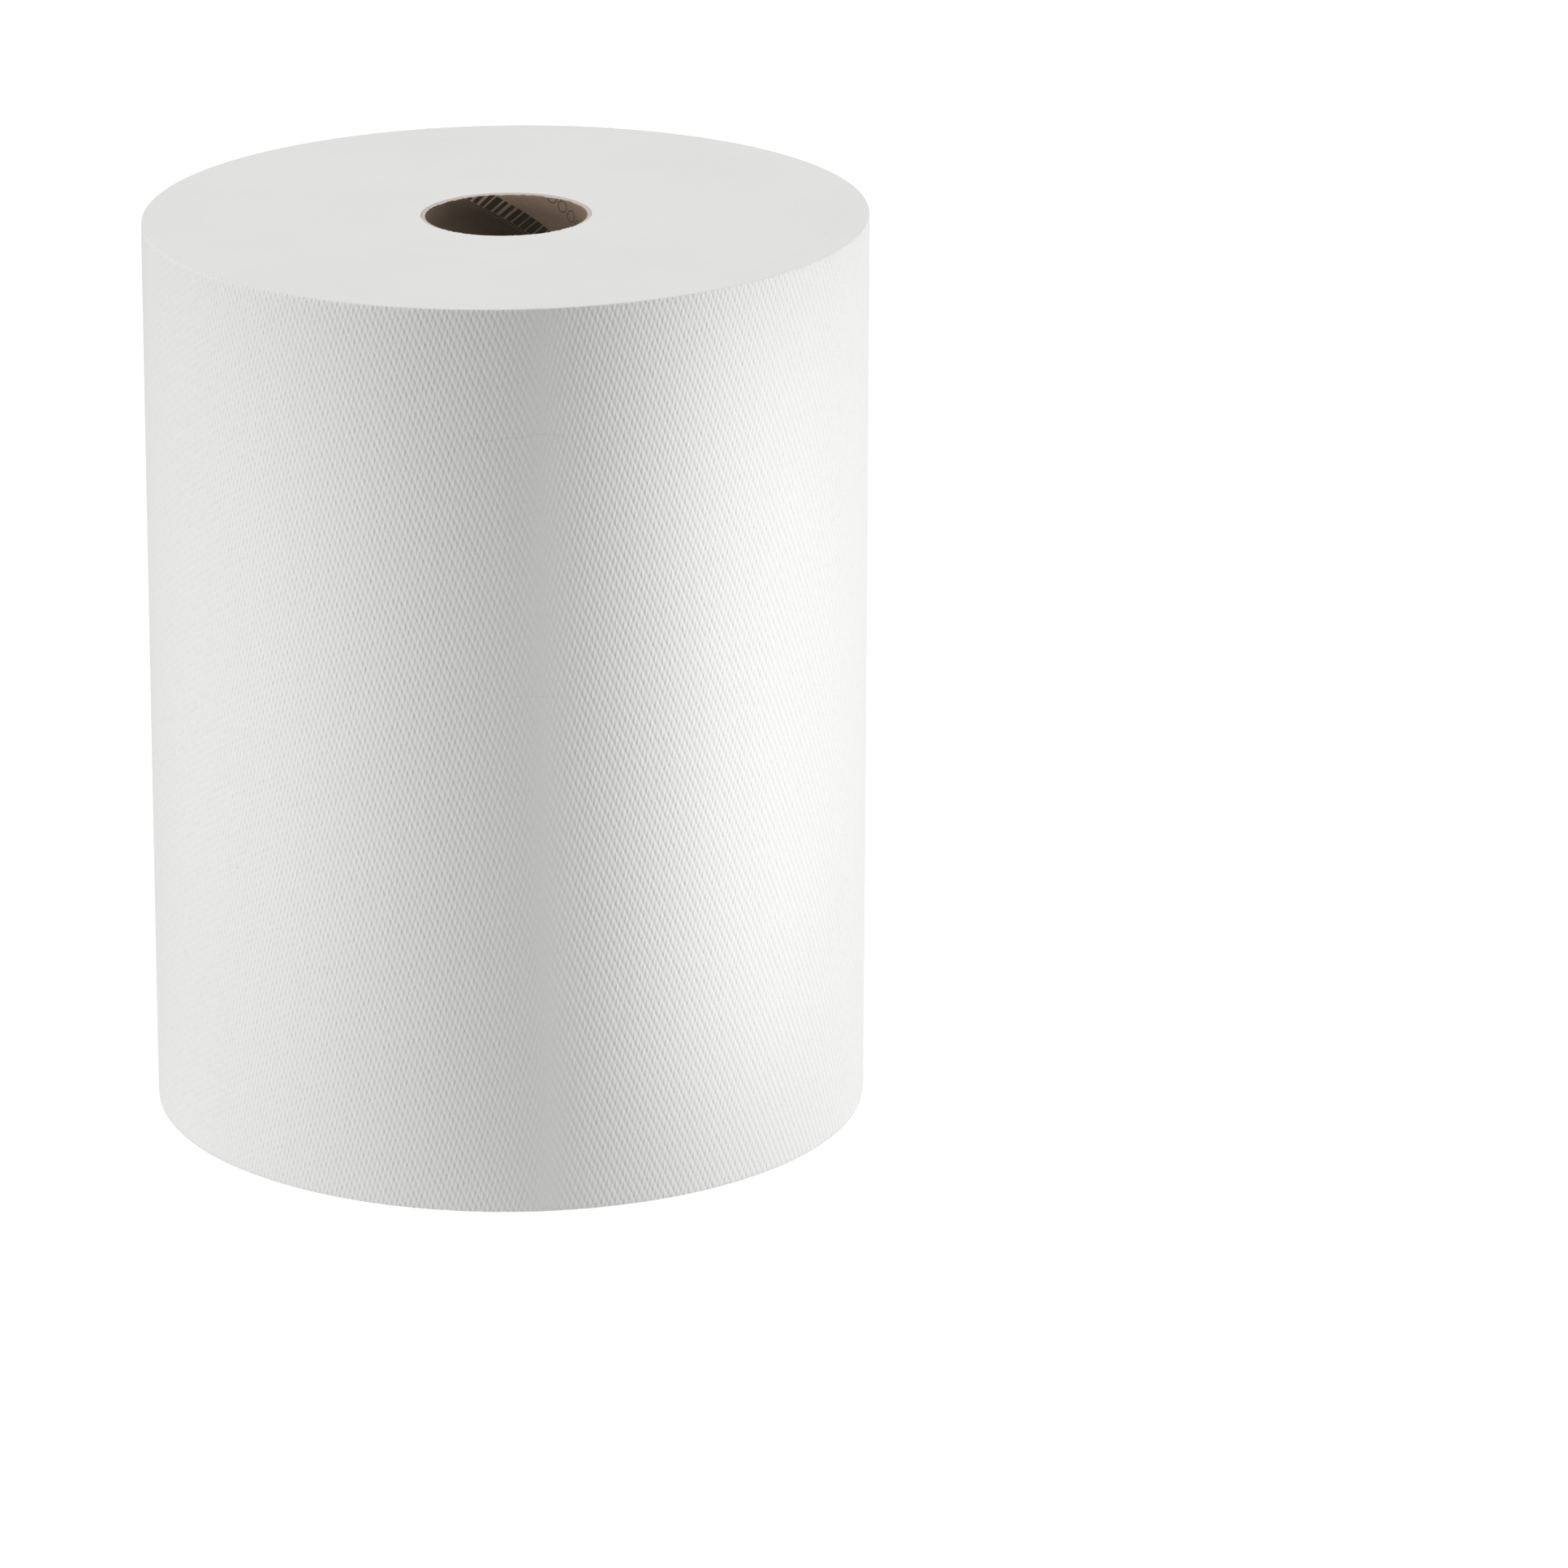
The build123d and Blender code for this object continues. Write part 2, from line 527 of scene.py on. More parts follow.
def fibres(roots, outward, length, seed):
    """All fibres as one array by fibre, step, corner and xyz; s runs from below 0 at the root to 1.

    centre = root + reach * (outward * s + curl * s |s| + bend * sin(3 s) * s squared), a triangle round it.
    """
    random = np.random.default_rng(seed)
    count = len(roots)
    s = np.linspace(-0.15, 1, FIBRE_STEPS)[None, :, None]
    curl = random.normal(0, 0.55, (count, 1, 3))
    bend = random.normal(0, 0.35, (count, 1, 3))
    reach = (length * random.uniform(0.4, 1.0, count))[:, None, None]
    line = outward[:, None, :] * s + curl * s * np.abs(s) + bend * np.sin(3 * s) * s * s
    centre = roots[:, None, :] + reach * line
    side = np.cross(outward, random.normal(0, 1, (count, 3)))
    side /= np.linalg.norm(side, axis=1, keepdims=True)
    other = np.cross(outward, side)
    taper = FIBRE_RADIUS * (1 - FIBRE_TAPER * np.clip(s, 0, 1))
    ways = [math.cos(a) * side[:, None] + math.sin(a) * other[:, None] for a in FIBRE_CORNERS]
    return np.stack([centre + taper * way for way in ways], axis=2)


print("a fibre has", FIBRE_STEPS * len(FIBRE_CORNERS), "points")


# %% Tufts of fibres, and one mesh of them all
def tuft(count, radius, height, lean, length, seeds, gathered=None, spread=0.03):
    """Fibres rooted on a circle, at random bearings or near those given, that lean by (out, up) shares."""
    root_seed, bend_seed = seeds
    random = np.random.default_rng(root_seed)
    bearing = random.uniform(0, FULL_TURN, count)
    if gathered is not None:
        bearing = random.choice(np.radians(gathered), count) + random.normal(0, spread, count)
    out, up = lean
    return fibres(on_circle(radius, bearing, height), on_circle(out, bearing, up), length, bend_seed)


def lint_piece(name, groups):
    """Joins groups of fibres into one mesh: corner k is joined to k + 1 and to both in the next step."""
    strands = np.concatenate(groups)
    sides = len(FIBRE_CORNERS)
    step = np.arange(FIBRE_STEPS - 1)[:, None] * sides
    corner = np.arange(sides)[None, :]
    beside = (corner + 1) % sides
    quads = np.stack([step + corner, step + beside, step + sides + beside, step + sides + corner], axis=-1)
    first = np.arange(len(strands))[:, None, None] * FIBRE_STEPS * sides
    return mesh_piece(name, strands.reshape(-1, 3), (first + quads.reshape(-1, 4)).reshape(-1, 4))


print("tufts ready")

# %% [markdown]
# A few dozen fibres go where the photograph shows fluff: round the mouth of the web, on the frayed board at
# the back of the bore, and in small tufts along the front of the rim. They keep those edges from looking
# machined.

# %% Lint
FRAYED_BOARD = 83, 88, 93, 66
FLUFFY_RIM = 263, 268, 283, 286, 301

mouth_lint = tuft(
    count=24, radius=WEB_START_RADIUS + 0.1 * MM, height=WEB_WIDTH - 0.1 * MM,
    lean=(-0.8, 0.1), length=0.6 * MM, seeds=(41, 43),
)
board_lint = tuft(
    count=40, radius=CORE_BORE_RADIUS + 0.3 * MM, height=CORE_TOP - 0.1 * MM,
    lean=(-0.5, -0.5), length=0.9 * MM, seeds=(42, 44), gathered=FRAYED_BOARD,
)
rim_lint = tuft(
    count=26, radius=ROLL_RADIUS - 0.2 * MM, height=WEB_WIDTH - 0.2 * MM,
    lean=(0.6, -0.2), length=0.8 * MM, seeds=(45, 46), gathered=FLUFFY_RIM,
)
lint = lint_piece("lint", [mouth_lint, board_lint, rim_lint])
print("lint:", len(lint.data.polygons), "faces")

# %% [markdown]
# ## Out of square
# A web never runs quite true onto its core. In the photograph the upper end stands higher on the right
# than on the left, by about two millimetres across the roll. Shearing the objects would do it, but a
# finished piece keeps its object unturned at the origin, so the points themselves are moved.

# %% The slant of the upper end
TOP_RISE = 0.66 * MM
TOP_SLANT = 1.05 * MM


def out_of_square(piece):
    """Moves every point up by z / width * (rise + slant * x / radius)."""
    points = np.empty(len(piece.data.vertices) * 3, dtype=np.float32)
    piece.data.vertices.foreach_get("co", points)
    points = points.reshape(-1, 3)
    points[:, 2] *= 1 + (TOP_RISE + TOP_SLANT * points[:, 0] / ROLL_RADIUS) / WEB_WIDTH
    piece.data.vertices.foreach_set("co", points.ravel())
    piece.data.update()


for piece in (outer, web, core, lint):
    out_of_square(piece)
print("left of the upper end", round((TOP_RISE - TOP_SLANT) / MM, 2), "mm up")
print("right of the upper end", round((TOP_RISE + TOP_SLANT) / MM, 2), "mm up")

# %% [markdown]
# ## Riding on the frame
# Outer turn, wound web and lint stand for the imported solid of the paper, and the tube stands for that of
# the core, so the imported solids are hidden. Everything belongs to one body, because a roll has no moving
# parts.

# %% Ride and replace
for piece, node, slot in (
    (outer, "paper_roll", "paper"),
    (web, "paper_roll", "paper"),
    (lint, "paper_roll", "paper"),
    (core, "core", "core"),
):
    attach(piece, "root")
    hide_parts(node)
    print(piece.name, "rides on root in place of", node)

# %% [markdown]
# ## Building materials from nodes
# A material is a small network of nodes. It could be wired by hand in the Shader Editor, but a script
# gives the same network each time. A few helpers keep the wiring short: one adds a node and connects its
# inputs, and the others are one or two nodes each, named for what they do.


# %% Wiring helpers
def connect(tree, node, inputs):
    """Sets a node's inputs to plain values or links them to sockets. None leaves an input alone."""
    for socket, value in inputs:
        if isinstance(value, bpy.types.NodeSocket):
            tree.links.new(value, node.inputs[socket])
        elif value is not None:
            node.inputs[socket].default_value = value


def add(tree, kind, inputs=(), **settings):
    """Adds a node and returns it. Its inputs are a list of values, or a dictionary by socket."""
    made = tree.nodes.new("ShaderNode" + kind)
    for name, value in settings.items():
        setattr(made, name, value)
    connect(tree, made, inputs.items() if isinstance(inputs, dict) else enumerate(inputs))
    return made


def maths(tree, operation, *values):
    """One Math node's result."""
    return add(tree, "Math", values, operation=operation).outputs[0]


def vectors(tree, operation, *values):
    """One Vector Math node's vector."""
    return add(tree, "VectorMath", values, operation=operation).outputs[0]


def length_of(tree, place):
    """Length of a vector, or a place's distance from the origin."""
    return add(tree, "VectorMath", (place,), operation="LENGTH").outputs["Value"]


def own_map(tree):
    """The piece's own UV map, in metres over its unrolled sheet."""
    return add(tree, "UVMap", uv_map="web").outputs[0]


def on_object(tree):
    """Object coordinates, which are metres from the origin on every piece."""
    return add(tree, "TexCoord").outputs["Object"]


print("wiring helpers ready")


# %% Values
def ramp(tree, value, low, high, to_low=0.0, to_high=1.0):
    """Value from low to high becomes to_low to to_high along an eased curve."""
    settings = (value, low, high, to_low, to_high)
    return add(tree, "MapRange", settings, interpolation_type="SMOOTHSTEP").outputs[0]


def noise(tree, place, scale, detail=2.0, roughness=0.5, distortion=0.0, output="Fac"):
    """Noise, 0 to 1, with features about 1 / scale metres across."""
    settings = {"Scale": scale, "Detail": detail, "Roughness": roughness, "Distortion": distortion}
    return add(tree, "TexNoise", {"Vector": place, **settings}).outputs[output]


def about_zero(tree, value, width):
    """A value of 0 to 1 becomes (value - 0.5) * width."""
    return maths(tree, "MULTIPLY", maths(tree, "SUBTRACT", value, 0.5), width)


def shared_out(tree, one, other, share):
    """One value times a share, plus the other times the rest."""
    first = maths(tree, "MULTIPLY", one, share)
    rest = maths(tree, "MULTIPLY", other, 1 - share)
    return maths(tree, "ADD", first, rest)


print("value helpers ready")


# %% Colours and bumps
def scaled(tree, colour, factor):
    """A colour, or a vector, times a factor."""
    return add(tree, "VectorMath", {0: colour, "Scale": factor}, operation="SCALE").outputs[0]


def tinted(tree, colour, tone, spread):
    """The colour times 1 + spread * (tone - 0.5) * 2."""
    return scaled(tree, colour, maths(tree, "MULTIPLY_ADD", tone, 2 * spread, 1 - spread))


def mixed(tree, share, colour, other):
    """The colour where the share is 0, the other where it is 1."""
    return add(tree, "Mix", {"Factor": share, 6: colour, 7: other}, data_type="RGBA").outputs[2]


def bump(tree, height, depth, strength=1.0, under=None):
    """A normal bent by a height of 0 to 1, which is depth metres deep, on top of another bump if given."""
    settings = {"Strength": strength, "Distance": depth, "Height": height, "Normal": under}
    return add(tree, "Bump", settings).outputs[0]


print("colour helpers ready")

# %% [markdown]
# ## Groups and materials
# An effect that several materials share is built once as a node group, with named sockets, and placed in
# each material with its own values. Copying its nodes into each material would work too, but then a
# change has to be made in every copy.


# %% Groups and materials
def new_group(name, inputs, outputs):
    """A shader group from inputs (name, kind, default) and outputs (name, kind); also its two ends."""
    group = bpy.data.node_groups.new(name, "ShaderNodeTree")
    for socket, kind, default in inputs:
        made = group.interface.new_socket(name=socket, in_out="INPUT", socket_type="NodeSocket" + kind)
        if default is not None:
            made.default_value = default
    for socket, kind in outputs:
        group.interface.new_socket(name=socket, in_out="OUTPUT", socket_type="NodeSocket" + kind)
    return group, group.nodes.new("NodeGroupInput").outputs, group.nodes.new("NodeGroupOutput").inputs


def use(tree, group, **inputs):
    """Places a group in a tree, with values or other nodes' sockets by name, and returns its outputs."""
    made = tree.nodes.new("ShaderNodeGroup")
    made.node_tree = group
    connect(tree, made, inputs.items())
    return made.outputs


def new_material(name, roughness, specular):
    """A material with its Principled shader; returns the material, its tree and the shader's inputs."""
    material = bpy.data.materials.new(name)
    material.use_nodes = True
    tree = material.node_tree
    surface = tree.nodes["Principled BSDF"].inputs
    surface["Roughness"].default_value = roughness
    surface["Specular IOR Level"].default_value = specular
    return material, tree, surface


print("group and material helpers ready")

# %% [markdown]
# ## The woven imprint
# The web was pressed between felts, which left a fine lattice of hollows, about thirty to a square
# centimetre. They could be drawn cell by cell, but such a lattice is also a sum of a few plane waves: each
# wave is the cosine of the place on the web dotted with how many crests it has per millimetre along and
# up the web. That gives the soft hollows of pressed paper with very few nodes. The waves were counted in
# the photograph. A little noise bends the lattice and fades it here and there, because felt isn't a
# machined die.

# %% Woven imprint: its waves
WAVES = (
    # crests per millimetre along and up the web, share of the height
    (0.505, 0.243, 0.52),
    (0.769, -0.214, 0.38),
    (1.010, 0.486, 0.11),
    (1.274, 0.029, -0.07),
)


def wave_sum(tree, place):
    """Sum over the waves of share * cos(2 pi * (place . crests)), place in metres."""
    total = None
    for along, up, share in WAVES:
        crests = (FULL_TURN * along / MM, FULL_TURN * up / MM, 0)
        phase = add(tree, "VectorMath", (place, crests), operation="DOT_PRODUCT").outputs["Value"]
        wave = maths(tree, "MULTIPLY", maths(tree, "COSINE", phase), share)
        total = wave if total is None else maths(tree, "ADD", total, wave)
    return total


first_wave, second_wave = WAVES[:2]
hollows = abs(first_wave[0] * second_wave[1] - first_wave[1] * second_wave[0])
print("hollows to a square millimetre:", round(hollows, 3))


# %% Woven imprint: the group
def woven_imprint():
    """Height of the lattice, 0 to 1: 0.5 - 0.5 * strength * waves at the place moved by noise * wander."""
    group, given, made = new_group(
        "woven_imprint",
        (("Web", "Vector", None), ("Wander", "Float", 0.3 * MM)),
        (("Height", "Float"),),
    )
    place = given["Web"]
    clouds = noise(group, place, scale=260.0, output="Color")
    either_way = vectors(group, "SUBTRACT", clouds, (0.5, 0.5, 0.5))
    bent_place = vectors(group, "ADD", place, scaled(group, either_way, given["Wander"]))
    patches = noise(group, place, scale=420.0, detail=3.0)
    strength = ramp(group, patches, 0.25, 0.75, to_low=0.55, to_high=1.25)
    height = maths(group, "MULTIPLY", wave_sum(group, bent_place), strength)
    group.links.new(maths(group, "MULTIPLY_ADD", height, -0.5, 0.5), made["Height"])
    return group


imprint = woven_imprint()
print("imprint of", len(WAVES), "waves in", len(imprint.nodes), "nodes")

# %% [markdown]
# ## Fibre grain, rings and flecks
# Three more effects are shared. Paper and board are both felted from fibres, which shows as a faint
# tangle of light and dark. Noise with a little distortion looks like that, and drawing each fibre would
# look no better from here.


# %% Fibre grain
def fibre_grain():
    """Tone: 0.6 of fine distorted noise and 0.4 of clouds. Height: the fine noise alone."""
    group, given, made = new_group(
        "fibre_grain",
        (("Place", "Vector", None), ("Scale", "Float", 1500.0)),
        (("Tone", "Float"), ("Height", "Float")),
    )
    fine = noise(group, given["Place"], given["Scale"], detail=5.0, roughness=0.65, distortion=1.2)
    clouds = noise(group, given["Place"], scale=110.0, detail=3.0)
    group.links.new(shared_out(group, fine, clouds, 0.6), made["Tone"])
    group.links.new(fine, made["Height"])
    return group


grain = fibre_grain()
print("grain in", len(grain.nodes), "nodes")

# %% [markdown]
# The ends of the web and of the core are both cut edges of many layers, which show as rings. A wave
# texture would draw them too evenly. So they are noise that depends on the radius and hardly on the
# bearing, once for the single layers and once for clusters of them.

# %% Rings of cut edges
RING_WANDER = 1.2 * MM
CHANGE_ROUND = 14.0


def ring_noise(tree, radius, slow_place, spacing, detail):
    """Noise of radius / spacing, plus a slow place that changes it a little round the circle."""
    layers = add(tree, "CombineXYZ", (maths(tree, "DIVIDE", radius, spacing), 0.0, 0.0)).outputs[0]
    return noise(tree, vectors(tree, "ADD", layers, slow_place), scale=1.0, detail=detail)


def cut_rings():
    """Tone: 0.4 of the single layers and 0.6 of their clusters. Height: the single layers alone."""
    group, given, made = new_group(
        "cut_rings",
        (("Place", "Vector", None), ("Pitch", "Float", 0.122 * MM), ("Cluster", "Float", 1.4 * MM)),
        (("Tone", "Float"), ("Height", "Float")),
    )
    flat_place = vectors(group, "MULTIPLY", given["Place"], (1, 1, 0))
    wander = about_zero(group, noise(group, flat_place, scale=18.0), RING_WANDER)
    radius = maths(group, "ADD", length_of(group, flat_place), wander)
    slow_place = scaled(group, flat_place, CHANGE_ROUND)
    layers = ring_noise(group, radius, slow_place, given["Pitch"], detail=1.0)
    clusters = ring_noise(group, radius, slow_place, given["Cluster"], detail=3.0)
    group.links.new(shared_out(group, layers, clusters, 0.4), made["Tone"])
    group.links.new(layers, made["Height"])
    return group


rings = cut_rings()
print("rings in", len(rings.nodes), "nodes")

# %% [markdown]
# Paper and board both have a few dark flecks. They could be scattered as small faces, but cells of a Voronoi
# pattern cost no geometry: each cell has its own random number, and where that is high enough, the middle
# of the cell is a fleck.


# %% Flecks
def dark_flecks():
    """Mask: 1 near the middle of each cell whose own number is above the rarity, 0 elsewhere."""
    group, given, made = new_group(
        "flecks",
        (("Place", "Vector", None), ("Scale", "Float", 300.0), ("Rarity", "Float", 0.97)),
        (("Mask", "Float"),),
    )
    cells = add(group, "TexVoronoi", {"Vector": given["Place"], "Scale": given["Scale"]}).outputs
    number = add(group, "SeparateColor", (cells["Color"],)).outputs[0]
    chosen = maths(group, "GREATER_THAN", number, given["Rarity"])
    middle = ramp(group, cells["Distance"], 0.02, 0.06, to_low=1.0, to_high=0.0)
    group.links.new(maths(group, "MULTIPLY", chosen, middle), made["Mask"])
    return group


flecks = dark_flecks()
print("flecks in", len(flecks.nodes), "nodes")

# %% [markdown]
# ## Two faint creases
# On the front of the roll two level creases, about four and two centimetres long, look as if the web
# had been nipped there. They are too shallow to be worth cutting into the mesh, so each is a thin line
# of painted shade that darkens the paper by a few percent, where the fold would shade it. It sags with a
# slow noise and fades over the outer half of its length.

# %% Creases
CREASES = (
    # height, where it starts and ends along the web
    (219 * MM, 330 * MM, 366 * MM),
    (147 * MM, 343 * MM, 361 * MM),
)
CREASE_SAG = 6 * MM
CREASE_CORE, CREASE_REACH = 0.1 * MM, 0.45 * MM
CREASE_SHADE = 0.045


def crease_shade(tree, place):
    """Share of the light that creases take: a line by the height, times a fade by the place along."""
    parts = add(tree, "SeparateXYZ", (place,)).outputs
    up = maths(tree, "ADD", parts[1], about_zero(tree, noise(tree, place, scale=60.0), CREASE_SAG))
    shade = 0.0
    for level, start, stop in CREASES:
        off_line = maths(tree, "ABSOLUTE", maths(tree, "SUBTRACT", up, level))
        from_middle = maths(tree, "ABSOLUTE", maths(tree, "SUBTRACT", parts[0], (start + stop) / 2))
        line = ramp(tree, off_line, CREASE_CORE, CREASE_REACH, to_low=1.0, to_high=0.0)
        fade = ramp(tree, from_middle, (stop - start) / 4, (stop - start) / 2, CREASE_SHADE, 0.0)
        shade = maths(tree, "ADD", shade, maths(tree, "MULTIPLY", line, fade))
    return shade


print(len(CREASES), "creases")

# %% [markdown]
# ## The paper's face
# Towelling is white but not blue-white: bleached pulp is a touch warm. It is rough at every scale, so
# light from it is almost wholly diffuse. The imprint is bump, because there are about 47,000 hollows on
# the turn, and as geometry they would be millions of faces. Its depth was set by comparing its contrast
# with the photograph, bearing by bearing. Under it lie the felt's own roughness and the single fibres.

# %% Towel face
PAPER_WHITE = (0.872, 0.872, 0.858)
PAPER_FLECK = (0.35, 0.32, 0.28, 1)
IMPRINT_DEPTH = 0.225 * MM
FELT_DEPTH = 0.12 * MM
GRAIN_DEPTH = 0.025 * MM


def embossed_paper():
    """White with faint fibres, rare flecks and two lines of painted crease shade, over felt, fibre and
    imprint bumps.
    """
    material, tree, surface = new_material("towel_face", roughness=0.92, specular=0.25)
    place = own_map(tree)
    fibre = use(tree, grain, Place=place, Scale=2600.0)
    fleck = use(tree, flecks, Place=place, Scale=130.0, Rarity=0.985)
    white = tinted(tree, PAPER_WHITE, fibre["Tone"], 0.015)
    flecked = mixed(tree, maths(tree, "MULTIPLY", fleck["Mask"], 0.5), white, PAPER_FLECK)
    # painted shade: the colour is darkened along the two crease lines
    crease_shaded = scaled(tree, flecked, maths(tree, "SUBTRACT", 1.0, crease_shade(tree, place)))
    tree.links.new(crease_shaded, surface["Base Color"])
    felt = noise(tree, place, scale=1000.0, detail=3.0, roughness=0.6)
    felted = bump(tree, felt, FELT_DEPTH)
    fibrous = bump(tree, fibre["Height"], GRAIN_DEPTH, under=felted)
    pressed = bump(tree, use(tree, imprint, Web=place)["Height"], IMPRINT_DEPTH, under=fibrous)
    tree.links.new(pressed, surface["Normal"])
    return material


towel_face = embossed_paper()
outer.data.materials.append(towel_face)
print("towel face in", len(towel_face.node_tree.nodes), "nodes")

# %% [markdown]
# ## The cut ends of the web
# The same paper seen on edge. A knife went through the whole roll, so the end is matt and even, and the
# turns show only as faint rings. Geometry this fine would shimmer, so the rings are a tone and a slight
# bump. The colour is the paper's, a little darker as painted shade, because the gaps between the turns
# hold some of the light. The loose fibres are the same pulp once more, with a tone of their own.

# %% Turn edges
# painted shade: a touch darker than the paper's white, for the gaps between the turns
EDGE_WHITE = (0.868, 0.866, 0.852)


def cut_paper():
    """White with rings, soft smudges and fibres of one or two percent, and a slight bump of both."""
    material, tree, surface = new_material("turn_edges", roughness=0.95, specular=0.2)
    place = on_object(tree)
    ring = use(tree, rings, Place=place)
    fibre = use(tree, grain, Place=place, Scale=3200.0)
    smudge = ramp(tree, noise(tree, place, scale=28.0, detail=4.0), 0.35, 0.7, to_low=1.0, to_high=0.0)
    ringed = tinted(tree, EDGE_WHITE, ring["Tone"], 0.02)
    smudged = tinted(tree, ringed, smudge, 0.008)
    tree.links.new(tinted(tree, smudged, fibre["Tone"], 0.012), surface["Base Color"])
    ring_bump = bump(tree, ring["Height"], 0.02 * MM, strength=0.6)
    fibre_bump = bump(tree, fibre["Height"], 0.012 * MM, strength=0.7, under=ring_bump)
    tree.links.new(fibre_bump, surface["Normal"])
    return material


turn_edges = cut_paper()
web.data.materials.append(turn_edges)
outer.data.materials.append(turn_edges)
print("turn edges in", len(turn_edges.node_tree.nodes), "nodes")

# %% Loose fibre
LINT_WHITE = (0.86, 0.85, 0.83)


def loose_fibre():
    """A slightly greyer white with the fibres' tone of five percent."""
    material, tree, surface = new_material("lint_white", roughness=0.9, specular=0.2)
    fibre = use(tree, grain, Place=on_object(tree), Scale=5000.0)
    tree.links.new(tinted(tree, LINT_WHITE, fibre["Tone"], 0.05), surface["Base Color"])
    return material


lint_white = loose_fibre()
lint.data.materials.append(lint_white)
print("lint white in", len(lint_white.node_tree.nodes), "nodes")

# %% [markdown]
# ## Board of the core
# Core board is made from waste paper, so it is a dull brown grey with streaks along the strip, paler
# and darker fibres and dark flecks. A plain brown with noise would look like wood or felt. What makes it
# board is that everything follows the strip, so the colour is read along its own map. Beside the seam it
# is darker, and near the mouth it is painted paler, as painted light where the lamps reach into the bore.

# %% Board colour
BOARD_BROWN = (0.37, 0.281, 0.21)
STREAK_STRETCH = (0.12, 1.0, 1.0)
SEAM_DARKENING = 0.66
SEAM_DARKENING_REACH = 24 * MM
# painted light near the mouth: how much paler the board is made, and over what depth
MOUTH_PAINTED_LIGHT = 1.45
MOUTH_PAINTED_LIGHT_REACH = 5 * MM


def board_colour(tree, place, fibre_tone):
    """Brown times fibres and streaks, times a darkening beside the seam, times painted light near the mouth.
    """
    stretched = add(tree, "Mapping", {"Vector": place, "Scale": STREAK_STRETCH}).outputs[0]
    streak = noise(tree, stretched, scale=900.0, detail=4.0)
    brown = tinted(tree, tinted(tree, BOARD_BROWN, fibre_tone, 0.22), streak, 0.12)
    across = add(tree, "SeparateXYZ", (place,)).outputs[1]
    # darker beside the seam, fading out across the strip
    darkening = ramp(tree, across, 0.0, SEAM_DARKENING_REACH, to_low=1 - SEAM_DARKENING, to_high=1.0)
    height = add(tree, "SeparateXYZ", (on_object(tree),)).outputs[2]
    from_mouth = maths(tree, "SUBTRACT", CORE_TOP, height)
    # painted light: paler near the mouth, fading over the reach below the top
    painted_mouth_light = ramp(tree, from_mouth, 0.0, MOUTH_PAINTED_LIGHT_REACH, to_low=MOUTH_PAINTED_LIGHT, to_high=1.0)
    return scaled(tree, brown, maths(tree, "MULTIPLY", darkening, painted_mouth_light))


print("stain reaches over", round(SEAM_DARKENING_REACH / STRIP_WIDTH * 100), "percent of the strip")

# %% [markdown]
# Along the other side of the seam runs a row of plain slanted bars, and further off a row of thin rings,
# as marks on waste board often do. Both come from the map: how far along the strip a point lies within
# its repeat, and how far across, say whether it is inked. A picture of them would blur close up.

# %% Bars on the board
BAR_PITCH = 2.2 * MM
BAR_HALF_WIDTH, BAR_HALF_MORE = 0.55 * MM, 0.484 * MM
BAR_LOW, BAR_HIGH = 0.2 * MM, 4.6 * MM
BAR_SLANT = 0.35
BAR_BLUR = 0.12 * MM


def off_middle(tree, along, pitch):
    """Distance, either way, from the middle of the repeat that a place along the strip falls in."""
    return about_zero(tree, maths(tree, "FRACT", maths(tree, "DIVIDE", along, pitch)), pitch)


def bars(tree, along, across):
    """1 within half a bar's width of its middle line. Each repeat's own random number picks the width."""
    slanted = maths(tree, "MULTIPLY_ADD", across, BAR_SLANT, along)
    repeat = maths(tree, "FLOOR", maths(tree, "DIVIDE", slanted, BAR_PITCH))
    chance = add(tree, "TexWhiteNoise", {"W": repeat}, noise_dimensions="1D").outputs["Value"]
    half_width = maths(tree, "MULTIPLY_ADD", chance, BAR_HALF_MORE, BAR_HALF_WIDTH)
    off_line = maths(tree, "ABSOLUTE", off_middle(tree, slanted, BAR_PITCH))
    on_bar = ramp(tree, maths(tree, "SUBTRACT", half_width, off_line), -BAR_BLUR, BAR_BLUR)
    above_low = ramp(tree, across, BAR_LOW - BAR_BLUR, BAR_LOW + BAR_BLUR)
    below_high = ramp(tree, across, BAR_HIGH - BAR_BLUR, BAR_HIGH + BAR_BLUR, to_low=1.0, to_high=0.0)
    return maths(tree, "MULTIPLY", on_bar, maths(tree, "MULTIPLY", above_low, below_high))


print("bars", round((BAR_HIGH - BAR_LOW) / MM, 1), "mm long every", round(BAR_PITCH / MM, 1), "mm")

# %% Rings on the board
RING_PITCH = 4.2 * MM
RING_PLACE = 13.3 * MM
RING_RADIUS = 1.6 * MM
RING_LINE = 0.16 * MM
RING_INK = 0.8


def thin_rings(tree, along, across):
    """Ink where the distance from the middle of the repeat is the radius, give or take a line's width."""
    sideways = maths(tree, "SUBTRACT", across, RING_PLACE)
    from_middle = add(tree, "CombineXYZ", (off_middle(tree, along, RING_PITCH), sideways, 0.0)).outputs[0]
    off_line = maths(tree, "ABSOLUTE", maths(tree, "SUBTRACT", length_of(tree, from_middle), RING_RADIUS))
    line = ramp(tree, off_line, RING_LINE / 2, RING_LINE * 1.5, to_low=1.0, to_high=0.0)
    return maths(tree, "MULTIPLY", line, RING_INK)


print("rings", round(2 * RING_RADIUS / MM, 1), "mm across every", round(RING_PITCH / MM, 1), "mm")

# %% [markdown]
# The ink went onto rough board, so its edges are ragged and the fibres show through it. Ragged edges
# could be drawn into each mark, but moving the place that both marks read by a fine noise does it once.

# %% Core board
BOARD_INK = (0.06, 0.054, 0.044, 1)
BOARD_FLECK = (0.1, 0.08, 0.06, 1)
INK_RAGGED = 0.3 * MM


